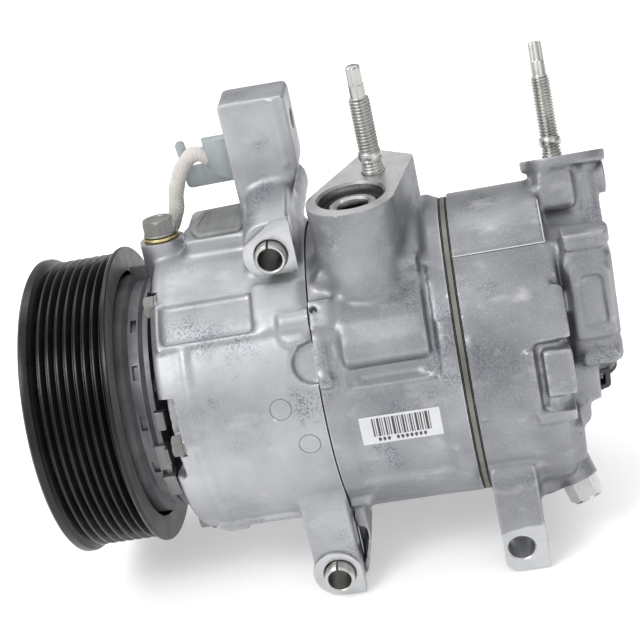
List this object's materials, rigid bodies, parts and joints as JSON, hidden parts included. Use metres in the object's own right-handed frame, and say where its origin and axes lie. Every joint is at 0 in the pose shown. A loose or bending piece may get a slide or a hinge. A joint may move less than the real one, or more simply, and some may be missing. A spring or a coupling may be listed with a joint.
{
  "type": "automotive air-conditioning compressor",
  "caption": "Belt-driven variable-displacement swash-plate air-conditioning compressor with a magnetic clutch, ribbed pulley, hose ports with studs and mounting ears.",
  "frame": {"origin": "on the drive shaft's axis, at the flat front face of the hub bolt", "axes": "+X along the shaft from the clutch to the rear housing, +Z out of the discharge port face on the cylinder block, -Y towards the side that the mounting bolts enter from"},
  "size_m": [0.234, 0.122, 0.1974],
  "materials": {
    "cast_aluminium": "die-cast, lightly shot-blasted, machined faces bright",
    "piston_aluminium": "machined, coated skirt",
    "coated_plate": "rubber-coated steel sheet",
    "spring_steel": "polished strip",
    "zinc_steel": "zinc plated",
    "bearing_steel": "ground",
    "coil_steel": "dark grey coated",
    "black_steel": "satin black coating",
    "coated_iron": "machined iron",
    "black_rubber": "matt",
    "black_plastic": "moulded",
    "cream_sleeve": "woven sleeve look",
    "bracket_steel": "grey-green plated sheet"
  },
  "bodies": {
    "housing": {"front_housing": "cast_aluminium", "cylinder_block": "cast_aluminium", "rear_housing": "cast_aluminium", "block_gasket": "coated_plate", "suction_reed_disc": "spring_steel", "valve_plate": "coated_plate", "discharge_reed_disc": "spring_steel", "head_gasket": "coated_plate", "through_bolt_1": "zinc_steel", "through_bolt_2": "zinc_steel", "through_bolt_3": "zinc_steel", "through_bolt_4": "zinc_steel", "through_bolt_5": "zinc_steel", "through_bolt_6": "zinc_steel", "field_coil": "coil_steel", "coil_snap_ring": "bearing_steel", "shaft_seal": "black_rubber", "front_bearing": "bearing_steel", "front_thrust_bearing": "bearing_steel", "rear_bearing": "bearing_steel", "control_valve": "black_plastic", "fill_plug": "zinc_steel", "relief_valve": "zinc_steel", "upper_mount_sleeve": "zinc_steel", "lower_mount_sleeve": "zinc_steel", "lead_bracket": "bracket_steel", "lead_connector": "black_plastic", "coil_lead": "cream_sleeve", "discharge_stud": "zinc_steel", "suction_stud": "zinc_steel", "check_valve": "bearing_steel", "pulley_bearing_inner": "bearing_steel"},
    "pulley": {"pulley": "black_steel", "pulley_bearing_outer": "bearing_steel"},
    "shaft": {"drive_shaft": "bearing_steel", "lug_plate": "coated_iron", "clutch_hub": "black_steel", "hub_bolt": "zinc_steel", "hub_damper": "black_rubber", "destroke_spring": "spring_steel"},
    "armature": {"armature_plate": "black_steel"},
    "swash": {"swash_plate": "coated_iron"},
    "piston_1": {"piston_1": "piston_aluminium"},
    "shoes_1": {"shoe_1_front": "bearing_steel", "shoe_1_rear": "bearing_steel"},
    "piston_2": {"piston_2": "piston_aluminium"},
    "shoes_2": {"shoe_2_front": "bearing_steel", "shoe_2_rear": "bearing_steel"},
    "piston_3": {"piston_3": "piston_aluminium"},
    "shoes_3": {"shoe_3_front": "bearing_steel", "shoe_3_rear": "bearing_steel"},
    "piston_4": {"piston_4": "piston_aluminium"},
    "shoes_4": {"shoe_4_front": "bearing_steel", "shoe_4_rear": "bearing_steel"},
    "piston_5": {"piston_5": "piston_aluminium"},
    "shoes_5": {"shoe_5_front": "bearing_steel", "shoe_5_rear": "bearing_steel"},
    "piston_6": {"piston_6": "piston_aluminium"},
    "shoes_6": {"shoe_6_front": "bearing_steel", "shoe_6_rear": "bearing_steel"}
  },
  "joints": [
    {"name": "pulley_spin", "type": "hinge", "parent": "housing", "child": "pulley", "pos_m": [0, 0, 0], "axis": [1, 0, 0], "continuous": true},
    {"name": "shaft_spin", "type": "hinge", "parent": "housing", "child": "shaft", "pos_m": [0, 0, 0], "axis": [1, 0, 0], "continuous": true},
    {"name": "armature_pull_in", "type": "slide", "parent": "shaft", "child": "armature", "axis": [1, 0, 0], "range_m": [0, 0.0005], "stiffness_N_per_m": 20000},
    {"name": "swash_tilt", "type": "hinge", "parent": "housing", "child": "swash", "pos_m": [0.103, 0, 0.033], "axis": [0, 1, 0], "range_deg": [0, 15], "stiffness_Nm_per_rad": 4},
    {"name": "piston_1_stroke", "type": "slide", "parent": "housing", "child": "piston_1", "axis": [1, 0, 0], "range_m": [-0.00387, 0]},
    {"name": "shoes_1_swivel", "type": "hinge", "parent": "piston_1", "child": "shoes_1", "pos_m": [0.103, -0.02736, 0.01845], "axis": [0, 1, 0], "range_deg": [0, 15.01]},
    {"name": "piston_2_stroke", "type": "slide", "parent": "housing", "child": "piston_2", "axis": [1, 0, 0], "range_m": [-0.000031, 0]},
    {"name": "shoes_2_swivel", "type": "hinge", "parent": "piston_2", "child": "shoes_2", "pos_m": [0.103, 0.0023, 0.03292], "axis": [0, 1, 0], "range_deg": [0, 15.01]},
    {"name": "piston_3_stroke", "type": "slide", "parent": "housing", "child": "piston_3", "axis": [1, 0, 0], "range_m": [-0.00494, 0]},
    {"name": "shoes_3_swivel", "type": "hinge", "parent": "piston_3", "child": "shoes_3", "pos_m": [0.103, 0.02966, 0.01447], "axis": [0, 1, 0], "range_deg": [0, 15.01]},
    {"name": "piston_4_stroke", "type": "slide", "parent": "housing", "child": "piston_4", "axis": [1, 0, 0], "range_m": [-0.01368, 0]},
    {"name": "shoes_4_swivel", "type": "hinge", "parent": "piston_4", "child": "shoes_4", "pos_m": [0.103, 0.02736, -0.01845], "axis": [0, 1, 0], "range_deg": [0, 15.01]},
    {"name": "piston_5_stroke", "type": "slide", "parent": "housing", "child": "piston_5", "axis": [1, 0, 0], "range_m": [-0.01753, 0]},
    {"name": "shoes_5_swivel", "type": "hinge", "parent": "piston_5", "child": "shoes_5", "pos_m": [0.103, -0.0023, -0.03292], "axis": [0, 1, 0], "range_deg": [0, 15.01]},
    {"name": "piston_6_stroke", "type": "slide", "parent": "housing", "child": "piston_6", "axis": [1, 0, 0], "range_m": [-0.01262, 0]},
    {"name": "shoes_6_swivel", "type": "hinge", "parent": "piston_6", "child": "shoes_6", "pos_m": [0.103, -0.02966, -0.01447], "axis": [0, 1, 0], "range_deg": [0, 15.01]}
  ],
  "couplings": [
    {"joint": "piston_1_stroke", "follows": "swash_tilt", "m_per_rad": -0.014765},
    {"joint": "shoes_1_swivel", "follows": "swash_tilt", "ratio": 1},
    {"joint": "piston_2_stroke", "follows": "swash_tilt", "m_per_rad": -0.000082},
    {"joint": "shoes_2_swivel", "follows": "swash_tilt", "ratio": 1},
    {"joint": "piston_3_stroke", "follows": "swash_tilt", "m_per_rad": -0.018812},
    {"joint": "shoes_3_swivel", "follows": "swash_tilt", "ratio": 1},
    {"joint": "piston_4_stroke", "follows": "swash_tilt", "m_per_rad": -0.052225},
    {"joint": "shoes_4_swivel", "follows": "swash_tilt", "ratio": 1},
    {"joint": "piston_5_stroke", "follows": "swash_tilt", "m_per_rad": -0.066908},
    {"joint": "shoes_5_swivel", "follows": "swash_tilt", "ratio": 1},
    {"joint": "piston_6_stroke", "follows": "swash_tilt", "m_per_rad": -0.048178},
    {"joint": "shoes_6_swivel", "follows": "swash_tilt", "ratio": 1}
  ]
}
